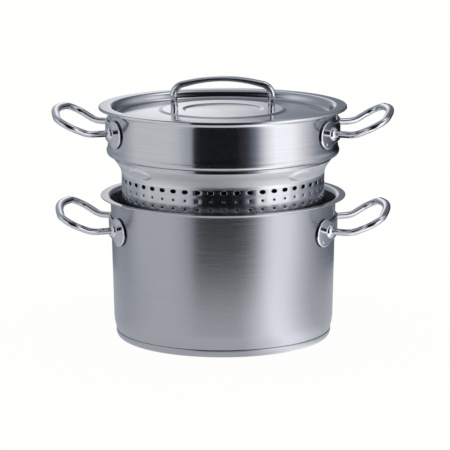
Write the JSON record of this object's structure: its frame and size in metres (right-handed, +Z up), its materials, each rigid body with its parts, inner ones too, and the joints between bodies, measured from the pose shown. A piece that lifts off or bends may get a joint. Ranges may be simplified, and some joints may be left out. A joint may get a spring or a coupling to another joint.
{
  "type": "pot with strainer insert",
  "caption": "Steel cooking pot with a flared rim and loop handles, a perforated lift-out strainer insert standing in it, and a sunken lid with an arched handle.",
  "frame": {"origin": "centre of the base's underside", "axes": "+Z up along the pot's axis, +X towards the right side handles, -Y towards the picture's camera"},
  "size_m": [0.3644, 0.2644, 0.2812],
  "materials": {
    "pot_wall": "stainless steel, fine brushing round the wall",
    "base_core": "plain aluminium, closed in by the base cap",
    "basket_steel": "bright drawn stainless steel",
    "collar_wall": "stainless steel, fine brushing round the wall, nearly bright",
    "lid_steel": "stainless steel, fine circular brushing, bright flange",
    "bracket_steel": "mirror-polished stainless steel",
    "handle_steel": "mirror-polished stainless steel"
  },
  "bodies": {
    "pot": {"pot_body": "pot_wall", "base_core": "base_core", "base_cap": "pot_wall", "pot_right_bracket": "bracket_steel", "pot_right_handle": "handle_steel", "pot_left_bracket": "bracket_steel", "pot_left_handle": "handle_steel"},
    "insert": {"strainer_basket": "basket_steel", "insert_collar": "collar_wall", "insert_right_bracket": "bracket_steel", "insert_right_handle": "handle_steel", "insert_left_bracket": "bracket_steel", "insert_left_handle": "handle_steel"},
    "lid": {"lid_dish": "lid_steel", "lid_handle": "handle_steel"}
  },
  "joints": [
    {"name": "insert_lift", "type": "slide", "parent": "pot", "child": "insert", "axis": [0, 0, 1], "range_m": [0, 0.17]},
    {"name": "lid_lift", "type": "slide", "parent": "insert", "child": "lid", "axis": [0, 0, 1], "range_m": [0, 0.12]}
  ]
}
